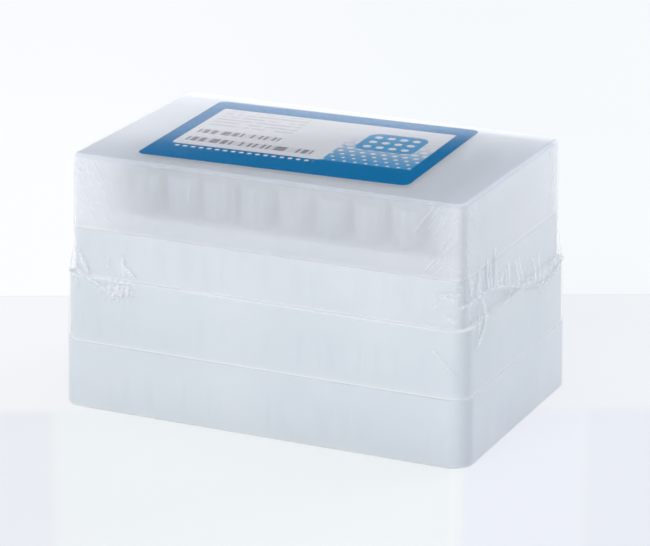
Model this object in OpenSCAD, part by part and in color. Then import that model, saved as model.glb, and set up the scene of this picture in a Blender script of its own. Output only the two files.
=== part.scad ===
// Sealed box of long pipette tips: a lid, a rack tray, a middle tier and a base tub, all wrapped in
// shrink film. +Z is up, +X runs along the long side, and the origin is the centre of the footprint,
// on the surface that the pack stands on. The tips set the size of the box that holds them.

/* [Tips] */
// Number of columns of tips along the box
columns = 10; // [2:1:12]
// Number of rows of tips across the box
rows = 6; // [2:1:8]
// Distance between neighbouring tips
pitch = 12; // [10:0.1:16]
// Length of a tip
tip_length = 69; // [55:0.5:90]
// Length of a tip's collar, which stands above the deck
collar_length = 11.8; // [8:0.1:14]
// Outer radius of the collar's rim, and over its ribs
collar_r = 4.5; // [4.3:0.05:4.9]
// Wall thickness of the collar's mouth
collar_wall = 0.75; // [0.6:0.05:1]
// Height of the collar's rim
rim_height = 1.2; // [0.6:0.1:2]
// Number of ribs around the collar
ribs = 8; // [4:1:12]
// Height to which a rib stands out from the collar
rib_height = 0.3; // [0.1:0.05:0.4]
// Width of a rib
rib_width = 0.6; // [0.4:0.1:1]
// Outer radius of the body just under the collar
body_r = 3.85; // [3.4:0.05:3.9]
// Height of the waist, where the steep taper of the narrow end starts
waist_height = 17; // [8:0.5:24]
// Outer radius at the waist
waist_r = 1.75; // [1.3:0.05:2.4]
// Wall thickness at the waist
waist_wall = 0.5; // [0.3:0.05:0.7]
// Outer radius at the narrow end
end_r = 0.7; // [0.55:0.05:1]
// Wall thickness at the narrow end
end_wall = 0.3; // [0.2:0.05:0.4]

/* [Box] */
// Distance from the first and last columns to the ends of the lid's top
end_margin = 8.4; // [7.6:0.1:14]
// Distance from the first and last rows to the sides of the lid's top
side_margin = 8.8; // [7.6:0.1:14]
// Free height between the tips and the lid's ceiling
head_room = 4.2; // [1:0.1:10]
// Free height between the tips and the tub's floor
foot_room = 2.3; // [0.5:0.1:6]
// Height of the tray's skirt, from its bottom edge to its shoulder
skirt_height = 14.35; // [10:0.05:20]
// Height of each neck above its shoulder or ledge
neck_height = 5.4; // [2:0.1:7]
// Width of the ledge that shows around the tray, on the middle tier
upper_ledge = 1.5; // [1:0.1:3]
// Width of the ledge that shows around the middle tier, on the tub
lower_ledge = 0.5; // [0.4:0.1:3]
// Outward lean of every upright wall, in degrees
draft = 1; // [0:0.1:2]
// Radius of the lid's upright corners at the top
corner_r = 3.1; // [1.5:0.1:8]

/* [Walls] */
// Wall thickness of the lid
lid_wall = 1.1; // [0.8:0.1:1.6]
// Wall thickness of the tray, the middle tier and the tub
tier_wall = 1.2; // [0.8:0.1:1.6]
// Thickness of the deck plate
deck_wall = 1.6; // [1:0.1:3]
// Thickness of the tub's floor
floor_wall = 1.4; // [1:0.1:3]
// Radius on the lid's top edge
lid_edge_r = 0.9; // [0.3:0.1:2]
// Radius on the outer edge of each ledge and of the tub's underside
ledge_edge_r = 0.35; // [0.1:0.05:0.8]
// Clearance between a neck and the wall around it
neck_gap = 0.2; // [0.1:0.05:0.4]
// Clearance around a tip's body in its bore
bore_gap = 0.25; // [0.15:0.05:0.4]

/* [Label and film] */
// Length of the label
label_length = 85.6; // [40:0.1:90]
// Width of the label
label_width = 62.3; // [30:0.1:66]
// Thickness of the label
label_t = 0.12; // [0.08:0.02:0.3]
// Corner radius of the label
label_r = 2.4; // [0.5:0.1:6]
// Turn of the label on the lid, in degrees
label_turn = 2.3; // [-3:0.1:3]
// Shift of the label along the lid
label_shift_x = -3.9; // [-6:0.1:6]
// Shift of the label across the lid
label_shift_y = 2.6; // [-3:0.1:3]
// Thickness of the shrink film
film_t = 0.1; // [0.05:0.01:0.2]
// Clearance between the film and the walls it spans
film_gap = 0.15; // [0.1:0.05:0.3]
// Height of the band below the lid's rim in which the film still lies on the wall
film_hug = 3; // [1:0.5:8]

/* [Hidden] */
TIP_NODES = [for (c = [1:columns]) str("tips_column_", c < 10 ? "0" : "", c)];

lean = tan(draft);
lid_length = (columns - 1) * pitch + 2 * end_margin;
lid_width = (rows - 1) * pitch + 2 * side_margin;

// Levels, from the surface that the pack stands on
tub_z = film_t;
tip_z = tub_z + floor_wall + foot_room;
deck_z = tip_z + tip_length - collar_length;
lid_z = deck_z + collar_length + head_room + lid_wall;
label_z = lid_z + label_t;
shoulder_z = deck_z - neck_height;
middle_rim_z = shoulder_z - skirt_height;
tier_height = (middle_rim_z - tub_z) / 2;
tub_rim_z = tub_z + tier_height;

// Outsets of the outer walls from the outline of the lid's top
lid_rim_out = (lid_z - shoulder_z) * lean;
tray_rim_out = lid_rim_out + skirt_height * lean;
middle_top_out = tray_rim_out + upper_ledge;
middle_rim_out = middle_top_out + tier_height * lean;
tub_top_out = middle_rim_out + lower_ledge;
tub_bottom_out = tub_top_out + tier_height * lean;

// Smoothness of corners and edges, as segments of a quarter turn
corner_steps = 6;
edge_steps = 4;

// Outset at height z of a leaning wall that has an outset at another height
function leaning(out, from_z, z) = out + (from_z - z) * lean;

// Outline of the lid's top moved outwards by an outset, as points that go round from +X
function ring(out) =
    let (r = max(corner_r + out, 0.3))
    let (x = lid_length / 2 + out - r)
    let (y = lid_width / 2 + out - r)
    let (centres = [[x, y], [-x, y], [-x, -y], [x, -y]])
    [for (q = [0:3]) for (s = [0:corner_steps])
        let (a = 90 * (q + s / corner_steps))
        centres[q] + r * [cos(a), sin(a)]];

// Rounded edge from a wall at an outset up to a flat top at height z, as [outset, height] points
function top_edge(out, z, r) =
    [for (s = [0:edge_steps])
        let (a = 90 * s / edge_steps)
        [out - r + r * cos(a), z - r + r * sin(a)]];

// Rounded edge from a flat underside at height z up to a wall at an outset
function foot_edge(out, z, r) =
    [for (s = [0:edge_steps])
        let (a = 90 * s / edge_steps)
        [out - r + r * sin(a), z + r - r * cos(a)]];

// Lower edge of a tier's wall, from its inside to its outside
function wall_foot(out, z) = [[out - tier_wall, z], [out, z]];

// Outset of the neck that fits inside a wall of that thickness and outer outset
function neck_in(wall_out, thickness) = wall_out - thickness - neck_gap;

// Top of a lower tier: its ledge, the neck above it, and the inside of both. The wall that stands
// on the ledge has its outer face at seat_out.
function ledge_and_neck(out, z, seat_out) =
    let (neck = neck_in(seat_out, tier_wall))
    let (neck_top = leaning(neck, z, z + neck_height))
    concat(
        top_edge(out, z, ledge_edge_r),
        [[neck, z], [neck_top, z + neck_height], [neck_top - tier_wall, z + neck_height]],
        [[neck - tier_wall, z - tier_wall], [leaning(out, z, z - tier_wall) - tier_wall, z - tier_wall]]
    );

// Wall whose section, a list of [outset, height] points that goes up its outside, runs round the
// box. An open section gets a flat cap over its first point and another over its last.
module wall(section, open = true) {
    n = 4 * (corner_steps + 1);
    m = len(section);
    points = [for (p = section) for (q = ring(p[0])) [q[0], q[1], p[1]]];
    sides = [for (i = [0:m - (open ? 2 : 1)]) for (j = [0:n - 1])
        let (next_i = (i + 1) % m)
        let (next_j = (j + 1) % n)
        [next_i * n + j, next_i * n + next_j, i * n + next_j, i * n + j]];
    caps = open ? [[for (j = [0:n - 1]) j], [for (j = [n - 1:-1:0]) (m - 1) * n + j]] : [];
    polyhedron(points, concat(sides, caps));
}

// Place of a tip, by its column from the left and its row from the front
module at_place(column, row) {
    x = (column - (columns + 1) / 2) * pitch;
    y = (row - (rows + 1) / 2) * pitch;
    translate([x, y, 0]) children();
}

// One tip, hollow from end to end: a ribbed collar over a body that tapers in two stages
module tip() {
    seat = tip_length - collar_length;
    tube_r = collar_r - rib_height;
    rim_z = tip_length - rim_height;
    rotate_extrude($fn = 48)
    polygon([
        [end_r, 0], [waist_r, waist_height], [body_r, seat], [tube_r, seat],
        [tube_r, rim_z - rib_height], [collar_r, rim_z], [collar_r, tip_length],
        [collar_r - collar_wall, tip_length], [body_r - collar_wall, seat],
        [waist_r - waist_wall, waist_height], [end_r - end_wall, 0]
    ]);
    for (i = [1:ribs])
        rotate(360 * i / ribs)
        translate([tube_r - rib_height, -rib_width / 2, seat])
        cube([2 * rib_height, rib_width, rim_z - seat]);
}

module tips_column(column) {
    color([0.94, 0.95, 0.97, 0.8])
    for (row = [1:rows]) at_place(column, row) translate([0, 0, tip_z]) tip();
}

// Lid: an upside-down tub, whose rim sits on the tray's shoulder
module lid() {
    ceiling_z = lid_z - lid_wall;
    inner_r = max(lid_edge_r - lid_wall, 0.1);
    color([0.93, 0.94, 0.96, 0.45])
    wall(concat(
        [[-lid_wall - inner_r, ceiling_z], [-lid_wall, ceiling_z - inner_r]],
        [[lid_rim_out - lid_wall, shoulder_z], [lid_rim_out, shoulder_z]],
        top_edge(leaning(0, lid_z, lid_z - lid_edge_r), lid_z, lid_edge_r)
    ));
}

// Rack tray: a deck with a bore for each tip, a neck inside the lid, a shoulder and a skirt
module rack_tray() {
    neck = neck_in(lid_rim_out, lid_wall);
    deck = leaning(neck, shoulder_z, deck_z);
    under_z = shoulder_z - tier_wall;
    color([0.86, 0.89, 0.93])
    difference() {
        wall(concat(
            [[deck - tier_wall, deck_z - deck_wall], [neck - tier_wall, under_z]],
            [[leaning(lid_rim_out, shoulder_z, under_z) - tier_wall, under_z]],
            wall_foot(tray_rim_out, middle_rim_z),
            top_edge(lid_rim_out, shoulder_z, ledge_edge_r),
            [[neck, shoulder_z]],
            top_edge(deck, deck_z, ledge_edge_r)
        ));
        for (column = [1:columns]) for (row = [1:rows])
            at_place(column, row)
            translate([0, 0, deck_z - 2 * deck_wall])
            cylinder(r = body_r + bore_gap, h = 3 * deck_wall, $fn = 48);
    }
}

// Middle tier: a ring that carries the tray on its ledge
module middle_tier() {
    color([0.85, 0.88, 0.93])
    wall(concat(
        wall_foot(middle_rim_out, tub_rim_z),
        ledge_and_neck(middle_top_out, middle_rim_z, tray_rim_out)
    ), open = false);
}

// Base tub: a floor and a wall that carries the middle tier on its ledge
module base_tub() {
    color([0.84, 0.87, 0.92])
    wall(concat(
        foot_edge(tub_bottom_out, tub_z, ledge_edge_r),
        ledge_and_neck(tub_top_out, tub_rim_z, middle_rim_out),
        [[tub_bottom_out - tier_wall, tub_z + floor_wall]]
    ));
}

module label() {
    x = label_length / 2 - label_r;
    y = label_width / 2 - label_r;
    color([0.12, 0.45, 0.68])
    translate([label_shift_x, label_shift_y, lid_z])
    rotate(label_turn)
    linear_extrude(label_t) {
        square([2 * x, label_width], center = true);
        square([label_length, 2 * y], center = true);
        for (i = [-1, 1]) for (j = [-1, 1]) translate([i * x, j * y]) circle(label_r, $fn = 48);
    }
}

// Space inside a film that stands off the walls by gap, from a flat foot up to a flat top. It spans
// from the lid's rim to the ledges' outer edges and on down to the tub's foot.
module film_space(gap, foot_z, top_z) {
    edge_r = lid_edge_r + gap;
    wall(concat(
        foot_edge(tub_bottom_out + gap, foot_z, ledge_edge_r),
        [[tub_top_out + gap, tub_rim_z], [middle_top_out + gap, middle_rim_z]],
        [[lid_rim_out + gap, shoulder_z - film_hug]],
        top_edge(leaning(gap, lid_z, lid_z - edge_r), top_z, edge_r)
    ));
}

module shrink_film() {
    color([0.95, 0.97, 1, 0.2])
    difference() {
        film_space(film_gap + film_t, 0, label_z + film_t);
        film_space(film_gap, film_t, label_z);
    }
}

shrink_film();
label();
lid();
rack_tray();
middle_tier();
base_tub();
for (column = [1:columns])
    tips_column(column);
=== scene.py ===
"""Looks of a sealed box of long pipette tips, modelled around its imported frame."""

import logging
import math
import random
from dataclasses import dataclass
from enum import Enum
from functools import cached_property, lru_cache
from typing import Callable, Optional, Sequence, Union

import bmesh
import bpy
import numpy as np
from mathutils import Matrix, Vector


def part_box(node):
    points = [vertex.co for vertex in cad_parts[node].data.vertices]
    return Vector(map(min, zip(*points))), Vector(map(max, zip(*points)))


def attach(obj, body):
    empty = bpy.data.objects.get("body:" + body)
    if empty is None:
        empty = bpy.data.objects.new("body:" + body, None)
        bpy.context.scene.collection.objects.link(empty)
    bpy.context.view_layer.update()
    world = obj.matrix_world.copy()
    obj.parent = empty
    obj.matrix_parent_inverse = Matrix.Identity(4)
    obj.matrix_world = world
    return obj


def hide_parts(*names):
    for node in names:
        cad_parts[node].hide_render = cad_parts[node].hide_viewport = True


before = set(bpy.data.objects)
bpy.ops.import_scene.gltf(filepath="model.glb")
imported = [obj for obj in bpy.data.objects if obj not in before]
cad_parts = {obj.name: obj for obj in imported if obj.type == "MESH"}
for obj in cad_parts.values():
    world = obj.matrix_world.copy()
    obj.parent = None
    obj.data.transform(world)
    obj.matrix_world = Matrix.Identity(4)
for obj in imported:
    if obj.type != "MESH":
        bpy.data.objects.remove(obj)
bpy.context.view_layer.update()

logging.basicConfig(level=logging.INFO, format="%(name)s: %(message)s")
log = logging.getLogger("tip_box")

MM = 0.001
NEAR = 0.01 * MM
Colour = tuple[float, float, float]
Value = Union["Term", int, float]


def smooth(low: float, high: float, x: np.ndarray) -> np.ndarray:
    """Smooth steps of numbers x, from 0 at low to 1 at high."""
    t = np.clip((x - low) / (high - low), 0, 1)
    return t * t * (3 - 2 * t)


# ---- measures


@lru_cache(maxsize=None)
def node_box(node: str) -> tuple[Vector, Vector]:
    """Lowest and highest corner of a frame node."""
    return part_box(node)


@dataclass(frozen=True)
class Measures:
    """Heights and outsets of the walls, taken from the frame.

    An outset is a wall's distance outside the outline of the lid's top.
    """

    draft: float = math.radians(1)
    corner: float = 3.1 * MM
    tier_wall: float = 1.2 * MM
    lid_wall: float = 1.1 * MM
    neck_gap: float = 0.2 * MM

    @property
    def lean(self) -> float:
        """Outset that a wall gains for each unit of height that it goes down."""
        return math.tan(self.draft)

    @cached_property
    def half(self) -> tuple[float, float]:
        """Half the size of the lid's top outline, along and across the box.

        Returns:
            The two lengths.
        """
        low, high = node_box("lid")
        rim = (high[2] - low[2]) * self.lean
        return high[0] - rim, high[1] - rim

    def low(self, node: str) -> float:
        """Lowest height of a frame node."""
        return node_box(node)[0][2]

    def high(self, node: str) -> float:
        """Highest height of a frame node."""
        return node_box(node)[1][2]

    def widest(self, node: str) -> float:
        """Outset of the widest outline of a frame node."""
        return node_box(node)[1][0] - self.half[0]

    @property
    def tier(self) -> float:
        """Height of the tub's and of the middle tier's visible wall."""
        return self.low("middle_tier") - self.low("base_tub")

    def outset(self, x: np.ndarray, y: np.ndarray) -> np.ndarray:
        """Outset of points, as the distance outside the outline of the lid's top.

        Args:
            x: Places along the box.
            y: Places across the box.

        Returns:
            The distances, below 0 inside the outline.
        """
        qx = np.abs(x) - (self.half[0] - self.corner)
        qy = np.abs(y) - (self.half[1] - self.corner)
        out = np.hypot(np.maximum(qx, 0), np.maximum(qy, 0))
        return out + np.minimum(np.maximum(qx, qy), 0) - self.corner


SIZE = Measures()

# Columns and rows of the tips, and the distance between two of them
COLUMNS, ROWS, PITCH = 10, 6, 12 * MM


# ---- modelling


def primitive(name: str, add: Callable[..., object], **shape: object) -> bpy.types.Object:
    """Adds a primitive, names it and leaves only it selected.

    Args:
        name: Name of the object and of its mesh.
        add: The operator that adds it.
        shape: What the operator is given.

    Returns:
        The object.
    """
    bpy.ops.object.select_all(action="DESELECT")
    add(**shape)
    piece = bpy.context.object
    piece.name = piece.data.name = name
    return piece


def turn_outwards() -> None:
    """Turns the edited mesh's faces outwards, and leaves edit mode."""
    bpy.ops.mesh.select_all(action="SELECT")
    bpy.ops.mesh.normals_make_consistent(inside=False)
    bpy.ops.object.mode_set(mode="OBJECT")


class Part(Enum):
    """What an edit of a mesh selects."""

    EDGE = "EDGE"
    FACE = "FACE"


class Wall:
    """A wall that climbs from a rounded outline, shaped step by step in edit mode."""

    def __init__(self, name: str, out: float, z: float, corner_steps: int = 10) -> None:
        """Starts the wall as a flat outline at its foot.

        Args:
            name: Name of the piece.
            out: Outset of the outline.
            z: Height of the outline.
            corner_steps: Segments of each upright corner.
        """
        plane = bpy.ops.mesh.primitive_plane_add
        self.piece = primitive(name, plane, size=2, location=(0, 0, z))
        self.out, self.z = out, z
        half_x, half_y = SIZE.half
        bpy.ops.object.mode_set(mode="EDIT")
        bpy.ops.transform.resize(value=(half_x + out, half_y + out, 1))
        bpy.ops.mesh.bevel(offset=SIZE.corner + out, segments=corner_steps, affect="VERTICES")

    def climb(self, *steps: tuple[float, float]) -> "Wall":
        """Takes the top face on through points, one after the other.

        Args:
            steps: The points, as (outset, height).

        Returns:
            The wall.
        """
        for out, z in steps:
            bpy.ops.mesh.inset(thickness=max(self.out - out, 0), depth=z - self.z)
            self.out, self.z = out, z
        return self

    def pick(self, test: Callable[..., np.ndarray], part: Part = Part.EDGE) -> "Wall":
        """Selects the edges or faces whose vertices all pass a test.

        Args:
            test: Takes the vertices' outsets and heights, and says which pass.
            part: Whether edges or faces are picked.

        Returns:
            The wall.
        """
        bpy.ops.mesh.select_mode(type=part.value)
        bpy.ops.mesh.select_all(action="DESELECT")
        mesh = bmesh.from_edit_mesh(self.piece.data)
        mesh.verts.index_update()
        place = np.array([v.co for v in mesh.verts])
        outsets = SIZE.outset(place[:, 0], place[:, 1])
        passes = test(outsets, place[:, 2] + self.piece.location.z)
        for item in mesh.edges if part is Part.EDGE else mesh.faces:
            item.select = all(passes[v.index] for v in item.verts)
        bmesh.update_edit_mesh(self.piece.data)
        return self

    def soften(self, out: float, z: float, width: float, segments: int = 3) -> "Wall":
        """Rounds a sharp edge that runs round the wall.

        Args:
            out: Outset of the edge.
            z: Height of the edge.
            width: Width of the rounding.
            segments: Steps of the rounding.

        Returns:
            The wall.
        """
        self.pick(lambda o, h: (abs(o - out) < NEAR) & (abs(h - z) < NEAR))
        bpy.ops.mesh.bevel(offset=width, segments=segments, affect="EDGES")
        return self

    def open_top(self) -> "Wall":
        """Deletes the highest face, which closes the wall.

        Returns:
            The wall.
        """
        self.pick(lambda o, h: abs(h - self.z) < NEAR, Part.FACE)
        bpy.ops.mesh.delete(type="FACE")
        return self

    def close_foot(self, z: float) -> "Wall":
        """Fills the open outline at the foot.

        Args:
            z: Height of the foot.

        Returns:
            The wall.
        """
        self.pick(lambda o, h: abs(h - z) < NEAR)
        bpy.ops.mesh.edge_face_add()
        return self

    def finish(self, thickness: float, angle: float = 40, even: bool = True) -> bpy.types.Object:
        """Gives the wall its thickness and smooth shading, and places it in the frame.

        Args:
            thickness: Thickness of the wall, which grows inwards.
            angle: Edges sharper than this many degrees stay sharp.
            even: Keeps the thickness at sharp edges, which a folded skin can't.

        Returns:
            The finished piece.
        """
        turn_outwards()
        bpy.ops.object.transform_apply(location=True, rotation=True, scale=True)
        solid = self.piece.modifiers.new("wall", "SOLIDIFY")
        solid.thickness, solid.offset = thickness, -1
        solid.use_even_offset = solid.use_quality_normals = even
        bpy.ops.object.modifier_apply(modifier=solid.name)
        bpy.ops.object.shade_smooth_by_angle(angle=math.radians(angle))
        return self.piece


def dress(piece: bpy.types.Object, material: bpy.types.Material) -> None:
    """Gives a piece its one material."""
    piece.data.materials.clear()
    piece.data.materials.append(material)


def seat(
    piece: bpy.types.Object, material: bpy.types.Material, slot: str, *nodes: str
) -> bpy.types.Object:
    """Dresses a finished piece and ties it to the frame.

    Args:
        piece: The piece.
        material: Its material.
        slot: Name of a material slot, which is not used.
        nodes: Frame nodes that it stands for.

    Returns:
        The piece.
    """
    dress(piece, material)
    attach(piece, "root")
    if nodes:
        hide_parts(*nodes)
    log.info("%s: %d faces", piece.name, len(piece.data.polygons))
    return piece


# ---- shading


class Kind(Enum):
    """What nodes belong to."""

    MATERIAL = "Material"
    WORLD = "World"


class Graph:
    """Nodes of one material or world, which read Object coordinates."""

    def __init__(self, name: str, kind: Kind = Kind.MATERIAL) -> None:
        """Starts an empty material or world.

        Args:
            name: Name of the material or world.
            kind: Which of the two it is.
        """
        self.kind = kind.value
        self.owner = getattr(bpy.data, self.kind.lower() + "s").new(name)
        self.owner.use_nodes = True
        self.tree = self.owner.node_tree
        self.tree.nodes.clear()

    def add(
        self,
        kind: str,
        settings: Optional[dict[str, object]] = None,
        values: Optional[dict[Union[str, int], object]] = None,
        output: Union[str, int] = 0,
    ) -> "Term":
        """Adds any node.

        Args:
            kind: Type of the node, without its ShaderNode prefix.
            settings: Properties of the node, which are set first.
            values: Values or terms of its inputs, by name or number.
            output: The output that the term stands for.

        Returns:
            The term of that output.
        """
        node = self.tree.nodes.new("ShaderNode" + kind)
        for key, value in (settings or {}).items():
            setattr(node, key, value)
        for key, value in (values or {}).items():
            if isinstance(value, Term):
                self.tree.links.new(value.socket, node.inputs[key])
            else:
                node.inputs[key].default_value = value
        return Term(self, node.outputs[output])

    def place(self, turn: float = 0, shift: Sequence[float] = (0, 0, 0)) -> "Term":
        """Object coordinates, or those of a pattern that is moved and turned.

        Args:
            turn: Angle of the pattern about Z.
            shift: Middle of the pattern.

        Returns:
            The coordinates as the pattern reads them.
        """
        coordinates = self.add("TexCoord", output="Object")
        if not turn and not any(shift):
            return coordinates
        values = {"Vector": coordinates, "Location": shift, "Rotation": (0, 0, turn)}
        return self.add("Mapping", {"vector_type": "TEXTURE"}, values)

    def parts(self, vector: "Term") -> tuple["Term", ...]:
        """The three parts of a vector."""
        node = self.add("SeparateXYZ", values={0: vector}).socket.node
        return tuple(Term(self, socket) for socket in node.outputs)

    def axes(self, vector: Optional["Term"] = None) -> tuple["Term", ...]:
        """The three parts of a vector or of Object coordinates, in millimetres."""
        return tuple(part * (1 / MM) for part in self.parts(vector or self.place()))

    def noise(self, scale: float, detail: float = 3, vector: Optional["Term"] = None) -> "Term":
        """Soft noise, from about 0.3 to 0.7, with features of about 1 / scale metres."""
        values = {"Vector": vector or self.place(), "Scale": scale, "Detail": detail}
        return self.add("TexNoise", values=values)

    def cloud(self, scale: float, detail: float = 3) -> "Term":
        """Soft noise, spread out to reach from 0 to 1."""
        return self.noise(scale, detail).step(0.3, 0.7)

    def chance(self, dimensions: str, output: str, **inputs: "Term") -> "Term":
        """Chance value or colour of each whole number or point."""
        return self.add("TexWhiteNoise", {"noise_dimensions": dimensions}, inputs, output)

    def join(self, *parts: Value) -> "Term":
        """A vector made of up to three parts."""
        return self.add("CombineXYZ", values=dict(enumerate(parts)))

    def blend(self, factor: Value, first: object, second: object) -> "Term":
        """Mixes two colours.

        Args:
            factor: Share of the second colour.
            first: The first colour, as a tuple or term.
            second: The second colour, as a tuple or term.

        Returns:
            The mixed colour.
        """

        def rgba(value: object) -> object:
            """A colour as the node takes it."""
            return value if isinstance(value, Term) else (*value, 1)

        values = {0: factor, 6: rgba(first), 7: rgba(second)}
        return self.add("Mix", {"data_type": "RGBA"}, values, 2)

    def bump(self, height: "Term", distance: float, strength: float = 1) -> "Term":
        """Normal of a relief, whose height of 1 stands out by distance."""
        values = {"Height": height, "Distance": distance, "Strength": strength}
        return self.add("Bump", values=values)

    def mix(self, factor: Value, first: "Term", second: "Term") -> "Term":
        """Mixes two shaders."""
        return self.add("MixShader", values={0: factor, 1: first, 2: second})

    def ray(self, kind: str) -> "Term":
        """1 for rays of a kind, such as Camera or Glossy, and 0 for others."""
        return self.add("LightPath", output=f"Is {kind} Ray")

    def grazing(self) -> "Term":
        """0 where the surface is seen head on, up to 1 where it is seen edge on."""
        return self.add("LayerWeight", values={"Blend": 0.5}, output="Facing")

    def plastic(
        self, colour: "Term", roughness: "Term", normal: "Term", glow: float, shine: float = 0.5
    ) -> "Term":
        """Adds a plastic that light partly passes through.

        Args:
            colour: Its colour.
            roughness: Roughness of its skin.
            normal: Relief of its skin.
            glow: Share of the light that passes through.
            shine: Strength of its mirroring, which is 0.5 for a bare skin.

        Returns:
            The shader.
        """
        values = {
            "Base Color": colour,
            "Roughness": roughness,
            "IOR": 1.49,
            "Specular IOR Level": shine,
            "Normal": normal,
        }
        body = self.add("BsdfPrincipled", values=values)
        return self.mix(glow, body, self.add("BsdfTranslucent", values={"Color": colour}))

    def out(self, shader: "Term") -> Union[bpy.types.Material, bpy.types.World]:
        """Ends the nodes with a shader.

        Args:
            shader: The shader that the surface shows.

        Returns:
            The material or world.
        """
        node = self.tree.nodes.new("ShaderNodeOutput" + self.kind)
        self.tree.links.new(shader.socket, node.inputs["Surface"])
        return self.owner


class Term:
    """A value that varies over a surface; expressions on terms add Math nodes."""

    def __init__(self, graph: Graph, socket: bpy.types.NodeSocket) -> None:
        """Wraps an output socket."""
        self.graph, self.socket = graph, socket

    def math(self, operation: str, *others: Value, first: object = None) -> "Term":
        """Adds a Math node on this term and others, behind first in a reflected operation."""
        inputs = ([] if first is None else [first]) + [self, *others]
        return self.graph.add("Math", {"operation": operation}, dict(enumerate(inputs)))

    def __add__(self, other: Value) -> "Term":
        """Sum."""
        return self.math("ADD", other)

    __radd__ = __add__

    def __sub__(self, other: Value) -> "Term":
        """Difference."""
        return self.math("SUBTRACT", other)

    def __rsub__(self, other: float) -> "Term":
        """Difference from a number."""
        return self.math("SUBTRACT", first=other)

    def __mul__(self, other: Value) -> "Term":
        """Product."""
        return self.math("MULTIPLY", other)

    __rmul__ = __mul__

    def __truediv__(self, other: Value) -> "Term":
        """Quotient."""
        return self.math("DIVIDE", other)

    def __pow__(self, other: float) -> "Term":
        """Power."""
        return self.math("POWER", other)

    def __mod__(self, other: float) -> "Term":
        """Remainder, which is never below 0."""
        return self.math("FLOORED_MODULO", other)

    def __abs__(self) -> "Term":
        """Size without its sign."""
        return self.math("ABSOLUTE")

    def floor(self) -> "Term":
        """Whole number at or below."""
        return self.math("FLOOR")

    def sine(self) -> "Term":
        """Sine."""
        return self.math("SINE")

    def angle(self, x: "Term") -> "Term":
        """Angle of the point that has this term as its y and another as its x."""
        return self.math("ARCTAN2", x)

    def least(self, other: Value) -> "Term":
        """The smaller of two."""
        return self.math("MINIMUM", other)

    def most(self, other: Value) -> "Term":
        """The larger of two."""
        return self.math("MAXIMUM", other)

    def step(self, low: float, high: float) -> "Term":
        """Smooth step between two values.

        Args:
            low: Value at which the step is 0.
            high: Value at which it is 1, above or below low.

        Returns:
            The term of the step.
        """
        settings = {"interpolation_type": "SMOOTHSTEP"}
        start, end = (low, high) if low < high else (high, low)
        ends = (0, 1) if low < high else (1, 0)
        values = {0: self, 1: start, 2: end, 3: ends[0], 4: ends[1]}
        return self.graph.add("MapRange", settings, values)


@dataclass(frozen=True)
class MilkyPlastic:
    """Natural polypropylene of the tiers: milky, satin and faintly see-through.

    A band of painted light lies along the wall's foot, painted highlight lines run along its rim
    and its foot, and faint bars of painted shade stand for what lies behind it.
    """

    name: str
    foot: float
    top: float
    light: Colour = (0.765, 0.80, 0.84)
    dark: Colour = (0.72, 0.765, 0.805)
    # lit is the colour of the painted light along the foot.
    lit: Colour = (0.83, 0.86, 0.89)
    # edge is the colour of the painted highlight lines; rim and end_rim are their strength along
    # the rim on the long faces and on the ends.
    edge: Colour = (0.93, 0.95, 0.97)
    rim: float = 0.15
    end_rim: float = 0.35
    # shade is the colour of the painted shade bars; bar_scale and bar_depth set their size and
    # strength.
    shade: Colour = (0.60, 0.66, 0.73)
    bar_scale: tuple[float, float] = (0.3, 0.03)
    bar_depth: float = 0.16
    clear: float = 0.03
    glow: float = 0.06
    roughness: float = 0.36
    relief: float = 0.02 * MM

    def material(self) -> bpy.types.Material:
        """Builds the material.

        Returns:
            The material.
        """
        graph = Graph(self.name)
        x, y, z = graph.axes()
        colour = graph.blend(graph.cloud(28, 4), self.light, self.dark)
        # Painted shade: faint upright dark bars low on the wall stand for what lies behind it.
        level, upright = self.bar_scale
        place = graph.join(level * x, level * y, upright * z)
        bars = graph.noise(1, 2, place).step(0.5, 0.68)
        height = z - self.foot / MM
        behind = height.step(1, 5) * height.step(16, 10)
        colour = graph.blend(self.bar_depth * bars * behind, colour, self.shade)
        long_face = abs(y).step(30, 40)
        # Painted light: the long faces are painted paler for about 2 mm above the foot.
        painted_foot_light = 0.35 * height.step(2.2, 0) * long_face
        colour = graph.blend(painted_foot_light, colour, self.lit)
        # Painted highlights: pale lines along the rounded rim and along the foot.
        rim = self.end_rim + (self.rim - self.end_rim) * long_face
        rim_highlight = rim * abs(z - self.top / MM).step(0.6, 0.1)
        foot_highlight = 0.9 * height.step(0.5, 0.2)
        colour = graph.blend(rim_highlight.most(foot_highlight), colour, self.edge)
        grain = graph.noise(900, 2)
        normal = graph.bump(grain + 2 * graph.noise(90, 2), self.relief, 0.4)
        roughness = self.roughness + 0.1 * (grain - 0.5)
        body = graph.plastic(colour, roughness, normal, self.glow)
        return graph.out(graph.mix(self.clear, body, graph.add("BsdfTransparent")))


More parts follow.
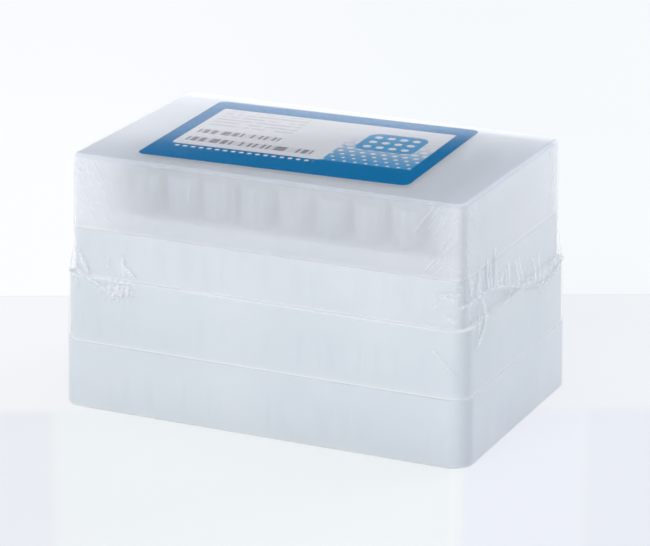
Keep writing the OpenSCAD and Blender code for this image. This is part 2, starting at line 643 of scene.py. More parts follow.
@dataclass(frozen=True)
class FrostedPlastic:
    """Frosted clear plastic of the lid, which blurs and pales what is behind it."""

    name: str
    foot: float
    top: float
    light: Colour = (0.945, 0.96, 0.99)
    dark: Colour = (0.91, 0.935, 0.975)
    # lit is the colour of the painted light along the foot; deep is the colour of the painted
    # shade on the top.
    lit: Colour = (0.97, 0.98, 0.99)
    deep: Colour = (0.81, 0.85, 0.925)
    clear: float = 0.61
    glow: float = 0.14
    shine: float = 0.08
    roughness: float = 0.45
    relief: float = 0.004 * MM

    def material(self) -> bpy.types.Material:
        """Builds the material.

        Returns:
            The material.
        """
        graph = Graph(self.name)
        x, y, z = graph.axes()
        cloud = graph.cloud(22)
        frost = graph.noise(1500, 2)
        # Painted light: the ends, the left one most, and a band along the foot are paler and less
        # see-through.
        end = x.step(-36, -60).most(0.6 * x.step(50, 64))
        rim = (z - self.foot / MM).step(1.6, 0)
        # Painted shade: the top and its rounded edge take a darker, bluer colour, except a band
        # along the back, which stays pale and less see-through as painted light.
        ceiling = (z - self.top / MM).step(-1.3, -0.4)
        back = 0.8 * y.step(31, 37) * ceiling
        colour = graph.blend(cloud, self.light, self.dark)
        colour = graph.blend(rim, colour, self.lit)
        colour = graph.blend(ceiling * (1 - back), colour, self.deep)
        roughness = self.roughness + 0.1 * (frost - 0.5)
        normal = graph.bump(frost, self.relief, 0.5)
        veil = graph.plastic(colour, roughness, normal, self.glow, self.shine)
        clear = (self.clear - 0.12 * rim) * (1 - 0.6 * end)
        clear = clear * (1 - back) * (1 - graph.grazing() ** 3) + 0.04 * (cloud - 0.5)
        return graph.out(graph.mix(clear, veil, graph.add("BsdfTransparent")))


@dataclass(frozen=True)
class TipPlastic:
    """Thin natural polypropylene of the tips: pale and full of light, with painted highlight on
    the collars' ribs and painted shade between them.
    """

    name: str
    light: Colour = (0.93, 0.945, 0.96)
    # dark is the painted shade between the ribs; light is the painted highlight on them and the
    # plastic's own colour.
    dark: Colour = (0.57, 0.65, 0.765)
    glow: float = 0.65
    roughness: float = 0.3
    ribs: int = 8
    relief: float = 0.1 * MM

    def material(self) -> bpy.types.Material:
        """Builds the material.

        Returns:
            The material.
        """
        graph = Graph(self.name)
        x, y, _ = graph.axes()
        pitch = PITCH / MM
        across = (x + COLUMNS * pitch / 2) % pitch - pitch / 2
        along = (y + ROWS * pitch / 2) % pitch - pitch / 2
        # Painted highlight and shade: pale on each rib of a collar, dark in the grooves between.
        rib = (along.angle(across) * self.ribs + math.pi / 2).sine().step(0.5, 0.8)
        cloud = graph.cloud(160)
        colour = graph.blend(0.85 * rib + 0.15 * cloud, self.dark, self.light)
        normal = graph.bump(rib, self.relief, 0.5)
        return graph.out(graph.plastic(colour, self.roughness + 0.1 * cloud, normal, self.glow))


@dataclass(frozen=True)
class ClearFilm:
    """Thin shrink film: clear and glossy where it is tight, whitish where it is gathered, partly
    as its own haze and partly as painted highlight.
    """

    name: str
    white: Colour = (0.97, 0.98, 1.0)
    haze: float = 0.002
    roughness: float = 0.08
    relief: float = 0.01 * MM
    # crease is the strength of the painted highlight on the creases.
    crease: float = 0.28
    glow: float = 0.12
    head_on: float = 0.015
    edge_on: float = 0.6

    def material(self) -> bpy.types.Material:
        """Builds the material.

        Returns:
            The material.
        """
        graph = Graph(self.name)
        fold = graph.add("Attribute", {"attribute_name": "fold"}, output="Fac")
        white = (*self.white, 1)
        shine = {"Roughness": self.roughness, "Normal": graph.bump(graph.noise(60), self.relief)}
        gloss = graph.add("BsdfAnisotropic", values={"Color": (1, 1, 1, 1), **shine})
        milk = graph.add("BsdfPrincipled", values={"Base Color": white, **shine})
        glow = graph.add("BsdfTranslucent", values={"Color": white})
        top = SIZE.high("shrink_film") / MM
        _, _, z = graph.axes()
        rounding = z.step(top - 1.3, top - 1) * z.step(top - 0.06, top - 0.12)
        mirrored = self.head_on + (self.edge_on - self.head_on) * graph.grazing() ** 5
        mirrored = mirrored * (1 - 2.4 * fold).most(0.1) * (1 - 0.8 * rounding)
        clear = graph.mix(mirrored, graph.add("BsdfTransparent"), gloss)
        # The white share is partly the gathered film's own haze and partly painted highlight on
        # the folds; on the creases it is painted highlight.
        share = (self.haze + fold + self.crease * self.creases(graph)).least(0.9)
        return graph.out(graph.mix(share, clear, graph.mix(self.glow, milk, glow)))

    @staticmethod
    def creases(graph: Graph) -> Term:
        """Mask of the fine slanting creases beside the upper end of each corner, which are painted
        as pale lines of highlight.

        Args:
            graph: Nodes of the film's material.

        Returns:
            A term that is 1 on a crease and 0 beside it.
        """
        slope, spacing, longest = 1.35, 1.5, 7
        x, y, z = graph.axes()
        half_x, half_y = (half / MM for half in SIZE.half)
        away = (half_x - abs(x)).most(0) + (half_y - abs(y)).most(0)
        slant = (z + slope * away) * (1 / spacing)
        row = slant.floor()
        corner = graph.join(row, x.step(-1, 1), y.step(-1, 1))
        start, length, shift = graph.parts(graph.chance("3D", "Color", Vector=corner))
        line = abs(slant - row - 0.3 - 0.4 * shift).step(0.13, 0.04)
        reach = away - 1.5 - longest * start
        extent = reach.step(-0.5, 0.8) * (reach - longest * length).step(1, -1)
        zone = away.step(1, 2) * z.step(57, 60) * z.step(77.4, 76.5)
        return line * extent * zone


class Ink(Enum):
    """Colours printed on the label, as linear values."""

    BLUE = (0.0, 0.155, 0.375)
    MID_BLUE = (0.08, 0.29, 0.52)
    PAPER = (0.63, 0.64, 0.68)
    GREY = (0.24, 0.24, 0.28)
    FIBRE = (0.0, 0.03, 0.08)


class Area(Enum):
    """Parts of the label, by their lowest and highest corner in millimetres."""

    FIELD = (9, -16.5), (38, 23.5)
    STRIP = (-38, -10), (12, 23.5)
    PANEL = (-38, -16.8), (10, 23.5)
    WORDS = (-35.5, 4.5), (-8, 22)
    UPPER_BARS = (-35.5, -4), (-9, 0)
    LOWER_BARS = (-35.5, -12.8), (5, -8.5)
    BADGE = (14, -2), (33, 16)
    ROUNDS = (15.5, -0.5), (31.5, 14.5)


@dataclass(frozen=True)
class LabelPrint:
    """Plain print of the label: a blue frame, a dotted field with a badge, and a pale panel.

    The panel holds rows of grey dashes and bars, and a row of rounds runs along the frame's foot.
    """

    name: str
    centre: tuple[float, float]
    turn: float
    edge: float = 0.12

    def box(self, x: Term, y: Term, area: Area, r: float = 0) -> Term:
        """Mask of a rounded box.

        Args:
            x: Place along the label, in millimetres.
            y: Place across the label, in millimetres.
            area: The part of the label that it covers.
            r: Radius of its corners.

        Returns:
            A term that is 1 inside and 0 outside.
        """
        ends = zip((x, y), *area.value)
        px, py = (abs(at - (a + b) / 2) - ((b - a) / 2 - r) for at, a, b in ends)
        if not r:
            return px.most(py).step(self.edge, -self.edge)
        out = (px.most(0) ** 2 + py.most(0) ** 2) ** 0.5
        return (out - r).step(self.edge, -self.edge)

    def material(self) -> bpy.types.Material:
        """Builds the material.

        Returns:
            The material.
        """
        graph = Graph(self.name)
        x, y, _ = graph.axes(graph.place(self.turn, (*self.centre, 0)))
        fade = y.step(-16, 16)
        paper, blue = Ink.PAPER.value, Ink.MID_BLUE.value
        field = graph.blend(self.dots(x, y, fade), graph.blend(fade, blue, paper), paper)
        window = self.box(x, y, Area.FIELD).most(self.box(x, y, Area.STRIP))
        colour = graph.blend(window, Ink.BLUE.value, field)
        marks = self.words(x, y, graph).most(self.bars(x, y, graph))
        for mask, ink in (
            (self.box(x, y, Area.PANEL, 1.5), Ink.PAPER),
            (marks, Ink.GREY),
            (self.box(x, y, Area.BADGE, 4), Ink.MID_BLUE),
            (self.rack(x, y), Ink.PAPER),
            (self.row(x, y), Ink.PAPER),
        ):
            colour = graph.blend(mask, colour, ink.value)
        fibre = graph.noise(700)
        values = {
            "Base Color": graph.blend(0.04 * fibre, colour, Ink.FIBRE.value),
            "Roughness": 0.4 + 0.1 * (fibre - 0.5),
            "IOR": 1.45,
            "Specular IOR Level": 0.0,
            "Normal": graph.bump(fibre, 0.01 * MM, 0.4),
        }
        return graph.out(graph.add("BsdfPrincipled", values=values))

    @staticmethod
    def dots(x: Term, y: Term, fade: Term) -> Term:
        """Mask of pale dots in offset rows, which grow up the label.

        Args:
            x: Place along the label, in millimetres.
            y: Place across the label, in millimetres.
            fade: Share of their growth, from 0 to 1.

        Returns:
            A term that is 1 inside and 0 outside.
        """
        pitch = 3.4
        row = (y * (1 / pitch)).floor()
        u = (x * (1 / pitch) + 0.5 * (row % 2)) % 1 - 0.5
        v = (y * (1 / pitch)) % 1 - 0.5
        reach = (u**2 + v**2) ** 0.5
        return (reach - (0.16 + 0.36 * fade)).step(0.06, -0.06)

    def words(self, x: Term, y: Term, graph: Graph) -> Term:
        """Mask of rows of short faint dashes.

        Args:
            x: Place along the label, in millimetres.
            y: Place across the label, in millimetres.
            graph: Nodes of the material.

        Returns:
            A term that is above 0 on a dash.
        """
        pitch, density, strength = 3.2, 0.7, 0.32
        height = (y - Area.WORDS.value[0][1]) * (1 / pitch)
        line = (abs(height % 1 - 0.45) - 0.22).step(0.05, -0.05)
        spot = graph.join((x * density).floor(), height.floor())
        words = graph.chance("2D", "Value", Vector=spot).step(0.2, 0.25)
        return strength * line * words * self.box(x, y, Area.WORDS)

    def bars(self, x: Term, y: Term, graph: Graph) -> Term:
        """Mask of two rows of upright bars of uneven width.

        Args:
            x: Place along the label, in millimetres.
            y: Place across the label, in millimetres.
            graph: Nodes of the material.

        Returns:
            A term that is 1 on a bar and lower between bars.
        """
        density, pale = 1.15, 0.2
        chance = graph.chance("1D", "Value", W=(x * density).floor())
        dark = pale + (1 - pale) * chance.step(0.45, 0.5)
        return dark * self.box(x, y, Area.UPPER_BARS).most(self.box(x, y, Area.LOWER_BARS))

    def rack(self, x: Term, y: Term) -> Term:
        """Mask of four by three rounds on the badge, like the holes of a rack.

        Args:
            x: Place along the label, in millimetres.
            y: Place across the label, in millimetres.

        Returns:
            A term that is 1 inside and 0 outside.
        """
        (left, foot), _ = Area.ROUNDS.value
        rounds = self.round((x - left) % 4 - 2, (y - foot) % 5 - 2.5, 1.25)
        return rounds * self.box(x, y, Area.ROUNDS)

    def row(self, x: Term, y: Term) -> Term:
        """Mask of a row of small rounds along the foot of the frame.

        Args:
            x: Place along the label, in millimetres.
            y: Place across the label, in millimetres.

        Returns:
            A term that is 1 inside and 0 outside.
        """
        pitch, height, middle, half = 2.6, -18.9, -14, 22
        rounds = self.round(x % pitch - pitch / 2, y - height, 0.75)
        return rounds * (abs(x - middle) - half).step(1, 0)

    def round(self, u: Term, v: Term, r: float) -> Term:
        """Mask of a round, whose middle is where u and v are 0."""
        return ((u**2 + v**2) ** 0.5 - r).step(self.edge, -self.edge)


# ---- pieces


@dataclass
class Lid:
    """Upside-down tub of frosted plastic, whose rim sits on the tray's shoulder."""

    edge: float = 0.9 * MM
    finish: FrostedPlastic = FrostedPlastic("frosted_lid", SIZE.low("lid"), SIZE.high("lid"))

    def build(self) -> bpy.types.Object:
        """Models and dresses the lid.

        Returns:
            The lid.
        """
        foot, top = SIZE.low("lid"), SIZE.high("lid")
        wall = Wall("lid_shell", SIZE.widest("lid"), foot)
        wall.climb((0, top)).soften(0, top, self.edge, segments=4)
        return seat(wall.finish(SIZE.lid_wall), self.finish.material(), "frosted_lid", "lid")


@dataclass
class RackTray:
    """Tray that holds the tips: a bored deck, a neck inside the lid, a shoulder and a skirt."""

    bore: float = 4.1 * MM
    cut_depth: float = 8 * MM
    edge: float = 0.35 * MM
    finish: MilkyPlastic = MilkyPlastic(
        "milky_tray", SIZE.low("rack_tray"), SIZE.high("rack_tray"), rim=0.5
    )

    def build(self) -> bpy.types.Object:
        """Models and dresses the tray.

        Returns:
            The tray.
        """
        foot, deck = SIZE.low("rack_tray"), SIZE.high("rack_tray")
        shoulder, shoulder_out = SIZE.low("lid"), SIZE.widest("lid")
        neck = shoulder_out - SIZE.lid_wall - SIZE.neck_gap
        deck_out = neck - (deck - shoulder) * SIZE.lean
        wall = Wall("rack_tray_shell", SIZE.widest("rack_tray"), foot)
        wall.climb((shoulder_out, shoulder), (neck, shoulder), (deck_out, deck))
        wall.soften(shoulder_out, shoulder, self.edge).soften(deck_out, deck, self.edge)
        piece = wall.finish(SIZE.tier_wall)
        self.drill(piece)
        return seat(piece, self.finish.material(), "milky_plastic", "rack_tray")

    def drill(self, piece: bpy.types.Object) -> None:
        """Cuts the bores out of the tray's deck, with one set of round cutters.

        Args:
            piece: The tray.
        """
        bpy.ops.object.select_all(action="DESELECT")
        deck = SIZE.high("rack_tray")
        cutters = []
        for column in range(COLUMNS):
            for row in range(ROWS):
                x = (column - (COLUMNS - 1) / 2) * PITCH
                y = (row - (ROWS - 1) / 2) * PITCH
                bpy.ops.mesh.primitive_cylinder_add(
                    vertices=32, radius=self.bore, depth=self.cut_depth, location=(x, y, deck)
                )
                cutters.append(bpy.context.object)
        for cutter in cutters:
            cutter.select_set(True)
        bpy.ops.object.join()
        tool = bpy.context.object
        cut = piece.modifiers.new("bores", "BOOLEAN")
        cut.object, cut.operation, cut.solver = tool, "DIFFERENCE", "EXACT"
        bpy.ops.object.select_all(action="DESELECT")
        bpy.context.view_layer.objects.active = piece
        piece.select_set(True)
        bpy.ops.object.modifier_apply(modifier=cut.name)
        bpy.data.objects.remove(tool)
        bpy.ops.object.shade_smooth_by_angle(angle=math.radians(40))


@dataclass
class Tier:
    """Milky wall with a ledge that carries the next tier, and a neck inside that one's wall."""

    node: str
    upper: str
    finish: MilkyPlastic
    has_floor: bool = False
    edge: float = 0.35 * MM
    neck_height: float = 5.4 * MM

    def build(self) -> bpy.types.Object:
        """Models and dresses the tier.

        Returns:
            The tier.
        """
        foot, rim = SIZE.low(self.node), SIZE.low(self.upper)
        foot_out = SIZE.widest(self.node)
        top_out = foot_out - SIZE.tier * SIZE.lean
        neck = SIZE.widest(self.upper) - SIZE.tier_wall - SIZE.neck_gap
        neck_top = neck - self.neck_height * SIZE.lean
        wall = Wall(self.node + "_shell", foot_out, foot)
        wall.climb((top_out, rim), (neck, rim), (neck_top, rim + self.neck_height))
        wall.open_top().soften(top_out, rim, self.edge)
        if self.has_floor:
            wall.close_foot(foot).soften(foot_out, foot, self.edge)
        piece = wall.finish(SIZE.tier_wall)
        return seat(piece, self.finish.material(), "milky_plastic", self.node)


@dataclass
class MiddleTier(Tier):
    """Ring that carries the tray on its ledge, with a neck inside the tray's skirt."""

    node: str = "middle_tier"
    upper: str = "rack_tray"
    finish: MilkyPlastic = MilkyPlastic(
        "milky_middle",
        foot=SIZE.low("middle_tier"),
        top=SIZE.low("rack_tray"),
        light=(0.755, 0.795, 0.835),
        dark=(0.71, 0.76, 0.80),
        rim=0.6,
    )


@dataclass
class BaseTub(Tier):
    """Tub with a floor, which carries the middle tier on its ledge."""

    node: str = "base_tub"
    upper: str = "middle_tier"
    finish: MilkyPlastic = MilkyPlastic(
        "milky_tub",
        foot=SIZE.low("base_tub"),
        top=SIZE.low("middle_tier"),
        light=(0.75, 0.79, 0.835),
        dark=(0.705, 0.755, 0.80),
        rim=0.0,
    )
    has_floor: bool = True


@dataclass
class Tips:
    """Sixty tips in ten columns, whose frame shapes stay as they are."""

    finish: TipPlastic = TipPlastic("tip_plastic")

    def dress(self) -> None:
        """Gives every column of tips its material."""
        material = self.finish.material()
        for name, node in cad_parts.items():
            if name.startswith("tips_column"):
                dress(node, material)
                log.info("%s: dressed", name)


@dataclass
class Label:
    """Printed label on the lid, whose frame shape stays as it is."""

    turn: float = math.radians(2.3)

    def dress(self) -> None:
        """Gives the label its print."""
        low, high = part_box("label")
        centre = ((low[0] + high[0]) / 2, (low[1] + high[1]) / 2)
        finish = LabelPrint("label_print", centre, self.turn)
        dress(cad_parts["label"], finish.material())
        log.info("label: dressed")


@dataclass(frozen=True)
class Crease:
    """A straight ridge in the film, by its ends on the unrolled wall.

    u is the distance from the nearest corner along a long face, or the place across an end.
    """

    u0: float
    z0: float
    u1: float
    z1: float
    width: float = 0.8
    height: float = 0.5

    def relief(self, u: np.ndarray, z: np.ndarray) -> np.ndarray:
        """Height of the ridge at places on the wall.

        Args:
            u: Places along the wall, in millimetres.
            z: Heights of the places, in millimetres.

        Returns:
            The ridge's heights there, in millimetres.
        """
        du, dz = self.u1 - self.u0, self.z1 - self.z0
        length = math.hypot(du, dz)
        along = ((u - self.u0) * du + (z - self.z0) * dz) / length
        away = ((u - self.u0) * dz - (z - self.z0) * du) / length
        taper = smooth(-1, 2, along) * smooth(-1, 3, length - along)
        return self.height * taper * np.exp(-((away / self.width) ** 2))


# Half the length of the film's seam, in millimetres
SEAM_HALF = 41


def seam_height(across: np.ndarray) -> np.ndarray:
    """Height of the film's seam at places across an end.

    Args:
        across: The places, in millimetres.

    Returns:
        The seam's heights there, in millimetres.
    """
    middle, swing, half_wave, lift = 43, 5, 50, 2.5
    wave = swing * np.sin(across * math.pi / half_wave)
    return middle - wave + lift * (np.abs(across) / SEAM_HALF) ** 4


def pleats(seed: int, count: int = 34) -> list[Crease]:
    """Draws the uneven pleats that rise and hang from the seam.

    Args:
        seed: Seed of the chance that varies them.
        count: Number of rising pleats.

    Returns:
        The pleats, by their places across an end.
    """
    chance = random.Random(seed)
    folds = []
    for k in range(count):
        across = -SEAM_HALF + 2 * SEAM_HALF * (k + chance.uniform(-0.45, 0.45)) / (count - 1)
        seam = float(seam_height(np.float64(across)))
        rise = chance.uniform(1.5, 6.5) + (5 if chance.random() < 0.2 else 0)
        lean = chance.uniform(-1.2, 1.2)
        width, height = chance.uniform(0.3, 0.5), chance.uniform(0.12, 0.36)
        folds.append(Crease(across, seam - 0.6, across + lean, seam + rise, width, height))
        if chance.random() < 0.55:
            drop, lean = chance.uniform(1.5, 5), chance.uniform(-1.5, 1.5)
            ends = across + 0.8, seam + 0.5, across + lean, seam - drop
            folds.append(Crease(*ends, width, 0.6 * height))
    return folds


@dataclass
class ShrinkFilm:
    """Skin of shrink film around the whole pack, gathered at a seam on each end."""

    thickness: float = 0.06 * MM
    stand_off: float = 0.25 * MM
    edge: float = 1.15 * MM
    foot_edge: float = 0.4 * MM
    edge_steps: int = 4
    ring: float = 0.4 * MM
    hug: float = 3 * MM
    fine: float = 0.7 * MM
    coarse: float = 2.6 * MM
    gathers: tuple[float, float] = (25 * MM, 61 * MM)
    most_milk: float = 0.5
    finish: ClearFilm = ClearFilm("shrink_film")

    def profile(self) -> list[tuple[float, float]]:
        """Section of the film, with its points close together at the gathers.

        Returns:
            The points, as (outset, height).
        """
        off, top = self.stand_off, SIZE.high("shrink_film")
        tub, middle = SIZE.widest("base_tub"), SIZE.widest("middle_tier")
        gain = SIZE.tier * SIZE.lean
        corners = [
            (tub + off, 0),
            (tub - gain + off, SIZE.low("middle_tier")),
            (middle - gain + off, SIZE.low("rack_tray")),
            (SIZE.widest("lid") + off, SIZE.low("lid") - self.hug),
            (off, top - self.edge),
        ]
        points = [corners[0]]
        for (out0, z0), (out1, z1) in zip(corners, corners[1:]):
            while z1 - points[-1][1] > NEAR:
                z = points[-1][1]
                step = self.fine if self.gathers[0] < z < self.gathers[1] else self.coarse
                z = z1 if z + 1.4 * step > z1 else z + step
                points.append((out0 + (out1 - out0) * (z - z0) / (z1 - z0), z))
        for k in range(1, self.edge_steps + 1):
            a = math.pi / 2 * k / self.edge_steps
            inward, down = self.edge * (1 - math.cos(a)), self.edge * (1 - math.sin(a))
            points.append((off - inward, top - down))
        return points

    def build(self) -> bpy.types.Object:
        """Models and dresses the film.

        Returns:
            The film.
        """
        steps = self.profile()
        foot_out = steps[0][0]
        wall = Wall("shrink_film_skin", foot_out, 0)
        self.divide(wall)
        wall.climb(*steps[1:])
        wall.climb(*((wall.out - k * self.ring, wall.z) for k in (1, 2, 3)))
        wall.close_foot(0).soften(foot_out, 0, self.foot_edge)
        turn_outwards()
        self.fold(wall.piece)
        bpy.ops.object.mode_set(mode="EDIT")
        piece = wall.finish(self.thickness, angle=60, even=False)
        return seat(piece, self.finish.material(), "film", "shrink_film")

    @staticmethod
    def divide(wall: Wall) -> None:
        """Divides the long sides of the outline, finely towards its corners.

        Args:
            wall: The film, while it is a flat outline.
        """
        for longest, nearest, cuts in ((90, 0, 3), (60, 50, 150), (20, 30, 64)):
            mesh = bmesh.from_edit_mesh(wall.piece.data)
            for edge in mesh.edges:
                middle = (edge.verts[0].co + edge.verts[1].co) / 2
                edge.select = edge.calc_length() > longest * MM and abs(middle.x) >= nearest * MM
            bmesh.update_edit_mesh(wall.piece.data)
            bpy.ops.mesh.subdivide(number_cuts=cuts)
        bpy.ops.mesh.select_mode(type="FACE")
        bpy.ops.mesh.select_all(action="SELECT")

    def fold(self, piece: bpy.types.Object) -> None:
        """Pushes the pleats and creases out of the film, and marks them.

        Args:
            piece: The film, before it has its thickness.
        """
        mesh = piece.data
        count = len(mesh.vertices)
        place = np.empty(3 * count, np.float32)
        mesh.vertices.foreach_get("co", place)
        place = place.reshape(-1, 3)
        height = self.relief(place / MM)
        normals = np.empty(3 * count, np.float32)
        mesh.vertex_normals.foreach_get("vector", normals)
        flat = normals.reshape(-1, 3).copy()
        flat[:, 2] = 0
        length = np.maximum(np.linalg.norm(flat, axis=1), 1e-6)
        flat *= (length > 0.5)[:, None] / length[:, None]
        moved = place + flat * (height * MM)[:, None]
        mesh.vertices.foreach_set("co", moved.astype(np.float32).ravel())
        # The mark whitens the folds in the film's material: partly haze, partly painted highlight.
        mark = mesh.attributes.new("fold", "FLOAT", "POINT")
        on_end = np.abs(place[:, 0]) > SIZE.half[0]
        milk = np.clip(np.where(on_end, 1.3, 1.1) * height, 0, self.most_milk)
        mark.data.foreach_set("value", milk.astype(np.float32))
        mesh.update()

    @staticmethod
    def relief(place: np.ndarray) -> np.ndarray:
        """Height of the folds at places on the film.

        Args:
            place: The places, in millimetres.

        Returns:
            How far the film stands out there, in millimetres.
        """
        x, y, z = place.T
        half_x, half_y = (half / MM for half in SIZE.half)
        end = smooth(-1.5, 0.5, np.abs(x) - half_x)
        front = smooth(-1.5, 0.5, np.abs(y) - half_y)
        across = y * np.sign(x)
        inward = half_x + 3 - np.abs(x)
        knotted = np.where(x * y > 0, 1.0, 0.0)
        bead = 0.35 * np.exp(-(((z - seam_height(across)) / 0.7) ** 2))
        height = 0.6 * end * bead
        for folds, share, u in (
            (KNOT, front * knotted, inward),
            (PINCH, front * (1 - knotted), inward),
            (END_FOLDS, end, across),
            (pleats(seed=11), end * (x > 0), across),
            (pleats(seed=4), end * (x < 0), across),
        ):
            for crease in folds:
                height = np.maximum(height, share * crease.relief(u, z))
        lump = front * knotted * np.exp(-(((inward - 19) / 3.5) ** 2) - ((z - 38) / 2.2) ** 2)
        knobbly = np.sin(2.1 * inward + 1.3 * z) * np.sin(2.4 * z - 0.9 * inward)
        return height + lump * (0.3 + 0.45 * knobbly)


# Creases that gather beside the front left corner and, turned about, the back right one
KNOT = [
    Crease(*row)
    for row in (
        (19.8, 48.2, 21.2, 44.8, 0.45, 0.5),
        (20.6, 46, 25, 42.4, 0.4, 0.4),
        (20.2, 45.6, 20.8, 42, 0.35, 0.3),
        (15.2, 47.3, 15.3, 44.8, 0.4, 0.5),
        (15, 38.6, 19, 40, 0.6, 0.5),
        (18, 40, 23.5, 39.6, 0.6, 0.55),
        (17, 37.2, 21, 38, 0.8, 0.5),
        (21.5, 40.5, 22.5, 37, 0.5, 0.5),
        (19, 41, 19.5, 37, 0.5, 0.5),
        (16, 36.4, 18, 39.5, 0.5, 0.4),
        (5, 49, 9.5, 42, 0.5, 0.35),
        (2, 51, 5, 46, 0.4, 0.3),
        (3, 44, 10, 40.5, 0.6, 0.35),
        (0.5, 49, 3, 42, 0.4, 0.3),
        (9, 41, 14.5, 38.6, 0.6, 0.4),
        (4, 42, 6, 37, 0.5, 0.25),
    )
]
# Creases that pinch beside the front right corner and, turned about, the back left one
PINCH = [
    Crease(*row)
    for row in (
        (-1, 51, 5, 52, 0.45, 0.35),
        (5, 52.2, 10.4, 50.6, 0.45, 0.35),
        (5, 50.4, 10.2, 49.8, 0.4, 0.3),
        (9.2, 48.2, 10.8, 47.6, 0.4, 0.6),
        (3.4, 58.3, 6, 58.8, 0.4, 0.6),
        (3, 55.7, 5.2, 56.1, 0.4, 0.6),
        (3.7, 44, 6.7, 45.2, 0.4, 0.5),
        (1, 53.2, 6, 54.5, 0.35, 0.25),
        (8.7, 33.1, 10.6, 34.9, 0.5, 0.45),
        (3.5, 28.5, 9.5, 33.8, 0.5, 0.12),
    )
]
# Folds that stand and hang at the seam on each end
END_FOLDS = [
    Crease(*row)
    for row in (
        (-26.5, 46.8, -25.4, 41.2, 0.5, 0.5),
        (-25.4, 42, -28.6, 37.6, 0.5, 0.5),
        (-28.2, 38.2, -33.2, 34.4, 0.5, 0.4),
        (-30.6, 44, -31.4, 39, 0.45, 0.35),
        (-31.2, 40, -33.6, 35, 0.45, 0.3),
        (-34, 50, -35.4, 58, 0.45, 0.35),
        (-32.3, 49.5, -33, 55, 0.4, 0.3),
        (-28, 49, -27.1, 57, 0.45, 0.4),
        (-21.2, 48, -21.2, 58, 0.5, 0.5),
        (-18.5, 47, -19, 56, 0.45, 0.35),
        (-14.7, 46.5, -15.4, 59, 0.5, 0.55),
        (-12, 46, -9.5, 50.5, 0.4, 0.3),
        (-5.6, 43, -5, 53, 0.4, 0.35),
        (13.8, 41, 13.4, 49, 0.4, 0.4),
        (37, 42, 36.5, 49, 0.5, 0.4),
        (37.5, 52, 37.2, 76, 0.4, 0.3),
    )
]


@dataclass
class SeamBead:
    """Crumpled bead of molten film along the seam of one end."""

    side: int
    radius: float = 0.25 * MM
    stand_off: float = 0.5 * MM
    reach: float = 39 * MM
    steps: int = 90
    finish: ClearFilm = ClearFilm("seam_bead", haze=0.35, crease=0.0)

    def build(self) -> bpy.types.Object:
        """Models and dresses the bead.

        Returns:
            The bead.
        """
        chance = random.Random(20 + self.side)
        piece = primitive(
            "seam_bead_right" if self.side > 0 else "seam_bead_left",
            bpy.ops.mesh.primitive_circle_add,
            vertices=8,
            radius=self.radius,
            fill_type="NGON",
            rotation=(math.pi / 2, 0, 0),
        )
        bpy.ops.object.transform_apply(rotation=True)
        points = [self.point(k, chance) for k in range(self.steps + 1)]
        bpy.ops.object.mode_set(mode="EDIT")
        bpy.ops.mesh.select_all(action="SELECT")
        bpy.ops.transform.translate(value=points[0])
        for start, end in zip(points, points[1:]):
            bpy.ops.mesh.extrude_region_move(TRANSFORM_OT_translate={"value": end - start})
        turn_outwards()
        bpy.ops.object.transform_apply(location=True, rotation=True, scale=True)
        bpy.ops.object.shade_smooth()
        return seat(piece, self.finish.material(), "film")

    def point(self, k: int, chance: random.Random) -> Vector:
        """Place of a step along the bead, with some chance in it.

        Args:
            k: Number of the step.
            chance: Source of the chance.

        Returns:
            The place.
        """
        across = self.reach * (2 * k / self.steps - 1)
        z = float(seam_height(np.float64(across / MM))) * MM
        tier = "rack_tray" if z > SIZE.low("rack_tray") else "middle_tier"
        out = SIZE.widest(tier) - (z - SIZE.low(tier)) * SIZE.lean
        x = SIZE.half[0] + out + self.stand_off + chance.uniform(-0.2, 0.3) * MM
        return Vector((self.side * x, self.side * across, z + chance.uniform(-0.3, 0.3) * MM))


# ---- studio


@dataclass(frozen=True)
class Lamp:
    """Rectangular soft lamp, with its size in metres and its power in watts.

    It stands at its place and faces its target, turned by its roll about its own axis.
    """

    name: str
    place: Sequence[float]
    size: tuple[float, float]
    power: float
    target: Sequence[float] = (0, 0, 0.03)
    roll: float = 0
    colour: Colour = (1.0, 1.0, 1.0)
    mirrored: bool = True

    def build(self) -> None:
        """Adds the lamp."""
        bpy.ops.object.light_add(type="AREA", location=self.place)
        lamp = bpy.context.object
        lamp.name = self.name
        lamp.data.shape, lamp.data.energy = "RECTANGLE", self.power
        lamp.data.size, lamp.data.size_y = self.size
        lamp.data.color = self.colour
        away = Vector(self.target) - Vector(self.place)
        turn = away.to_track_quat("-Z", "Y").to_matrix()
        lamp.rotation_euler = (turn @ Matrix.Rotation(self.roll, 3, "Z")).to_euler()
        lamp.visible_camera, lamp.visible_glossy = False, self.mirrored


LAMPS = (
    Lamp(
        "back_card", (-0.135, 0.29, 0.137), (0.27, 0.06), 0.045, (-0.1, 0, 0.13), math.radians(5.8)
    ),
    Lamp(
        "low_card", (-0.135, 0.29, 0.138), (0.27, 0.04), 0.029, (-0.1, 0, 0.13), math.radians(-2)
    ),
    Lamp("left_softbox", (-1.0, 0.1, 0.45), (0.7, 0.7), 2.5, (0, 0, 0.05)),
    Lamp("front_softbox", (-0.08, -1.12, 0.75), (0.9, 0.9), 9.8, mirrored=False),
    Lamp(
        "right_softbox",
        (0.58, 1.0, 0.5),
        (0.7, 0.7),
        10.2,
        colour=(0.93, 0.96, 1.0),
        mirrored=False,
    ),
    Lamp("top_softbox", (0.1, 0.1, 1.1), (0.8, 0.8), 3.0),
)


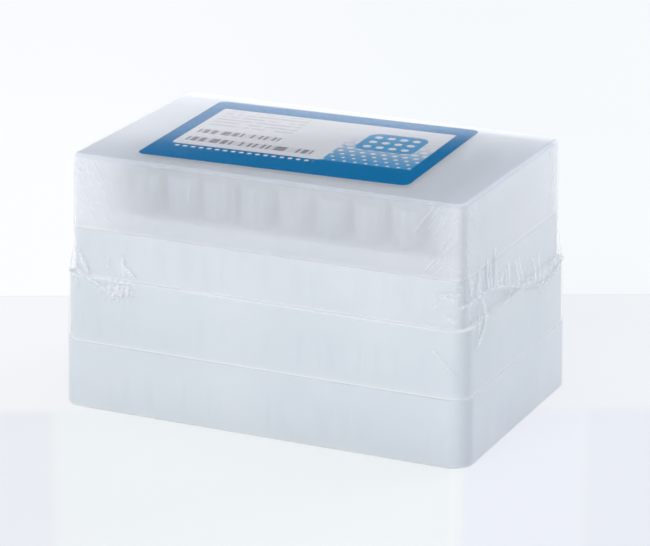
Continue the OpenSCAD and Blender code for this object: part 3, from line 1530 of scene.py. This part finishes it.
@dataclass
class Studio:
    """Pale floor with a seam behind the pack, soft lamps and the camera."""

    azimuth: float = math.radians(24.25)
    elevation: float = math.radians(18.33)
    roll: float = math.radians(0.334)
    distance: float = 1013.7 * MM
    lens: float = 186.04
    aim: tuple[float, float, float] = (1.95 * MM, 0.87 * MM, 38.11 * MM)
    seam_distance: float = 91.5 * MM
    seam_turn: float = math.radians(1.5)

    def build(self) -> None:
        """Makes the floor, the lamps, the world and the camera."""
        self.camera()
        self.floor()
        self.world()
        for lamp in LAMPS:
            lamp.build()

    def camera(self) -> None:
        """Puts the camera on its sphere round the pack."""
        bpy.ops.object.camera_add()
        camera = bpy.context.object
        camera.name = "camera"
        camera.data.lens = self.lens
        camera.data.sensor_width = 36
        camera.data.clip_start = 0.01
        ca, sa = math.cos(self.azimuth), math.sin(self.azimuth)
        ce, se = math.cos(self.elevation), math.sin(self.elevation)
        away = Vector((sa * ce, -ca * ce, se))
        turn = (
            Matrix.Rotation(self.azimuth, 4, "Z")
            @ Matrix.Rotation(math.pi / 2 - self.elevation, 4, "X")
            @ Matrix.Rotation(self.roll, 4, "Z")
        )
        camera.matrix_world = Matrix.Translation(Vector(self.aim) + away * self.distance) @ turn
        bpy.context.scene.camera = camera
        log.info("camera at %s", tuple(round(v, 4) for v in camera.location))

    def floor(self) -> None:
        """Lays a wide floor whose colour steps at the seam."""
        below = -0.05 * MM
        floor = primitive(
            "floor", bpy.ops.mesh.primitive_plane_add, size=8, location=(0, 0, below)
        )
        bpy.ops.object.transform_apply(location=True)
        graph = Graph("floor")
        x, y, _ = graph.axes(graph.place(self.azimuth + self.seam_turn))
        seam = y - self.seam_distance / MM
        line = (abs(seam) - 0.35).step(0.25, -0.25)
        # Painted light: both parts of the floor grow a little darker towards the right.
        back = graph.blend(x.step(-110, 110), (0.965, 0.972, 1.0), (0.92, 0.945, 0.97))
        near = graph.blend(x.step(-110, 110), (0.905, 0.915, 0.945), (0.865, 0.895, 0.925))
        colour = graph.blend(seam.step(-0.4, 0.4), near, back)
        colour = graph.blend(0.35 * line, colour, (0.62, 0.66, 0.72))
        # Painted reflection of the pack on the near floor.
        reflection_zone = y.step(-10, -22) * y.step(-200, -125)
        colour = graph.blend(reflection_zone, colour, self.painted_reflection(graph))
        values = {"Base Color": colour, "Roughness": 0.5, "IOR": 1.45}
        plain = graph.add("BsdfPrincipled", values=values)
        shown = graph.add("Emission", values={"Color": colour, "Strength": 1.0})
        share = 0.85 * graph.ray("Camera").most(graph.ray("Glossy"))
        dress(floor, graph.out(graph.mix(share, plain, shown)))

    def painted_reflection(self, graph: Graph) -> Term:
        """Colour of the near floor, with a painted reflection of the pack: paler before its front,
        bluer before its side, a pale line below its corner, on a ground a little darker towards
        the right.

        Args:
            graph: Nodes of the floor's material.

        Returns:
            The colour.
        """
        x, y, _ = graph.axes(graph.place(self.azimuth))
        far = 962.0  # How far in front of the pack the gleam's sides would meet
        u = x * far / (y + far)
        colour = graph.blend(u.step(-90, 100), (0.83, 0.855, 0.90), (0.815, 0.84, 0.90))
        colour = graph.blend(u.step(-84, -78) * u.step(85, 79), colour, (0.865, 0.90, 0.925))
        colour = graph.blend(u.step(44, 47) * u.step(85, 79), colour, (0.84, 0.865, 0.925))
        return graph.blend(0.4 * (abs(u - 42) - 1).step(0.8, -0.8), colour, (0.93, 0.94, 0.96))

    @staticmethod
    def world() -> None:
        """Sets a dim even light, and a near white background for the camera."""
        graph = Graph("studio", Kind.WORLD)
        bpy.context.scene.world = graph.owner

        def sky(colour: Colour, strength: float) -> Term:
            """An even background."""
            return graph.add("Background", values={"Color": (*colour, 1), "Strength": strength})

        cool, pale = (0.93, 0.96, 1.0), (0.93, 0.94, 0.97)
        light = graph.mix(graph.ray("Glossy"), sky(cool, 0.42), sky(cool, 0.01))
        graph.out(graph.mix(graph.ray("Camera"), light, sky(pale, 1)))


def main() -> None:
    """Builds the pack and its studio."""
    bpy.context.scene.view_settings.view_transform = "Standard"
    Studio().build()
    Lid().build()
    RackTray().build()
    MiddleTier().build()
    BaseTub().build()
    Tips().dress()
    Label().dress()
    ShrinkFilm().build()
    SeamBead(1).build()
    SeamBead(-1).build()


if __name__ == "__main__":
    main()
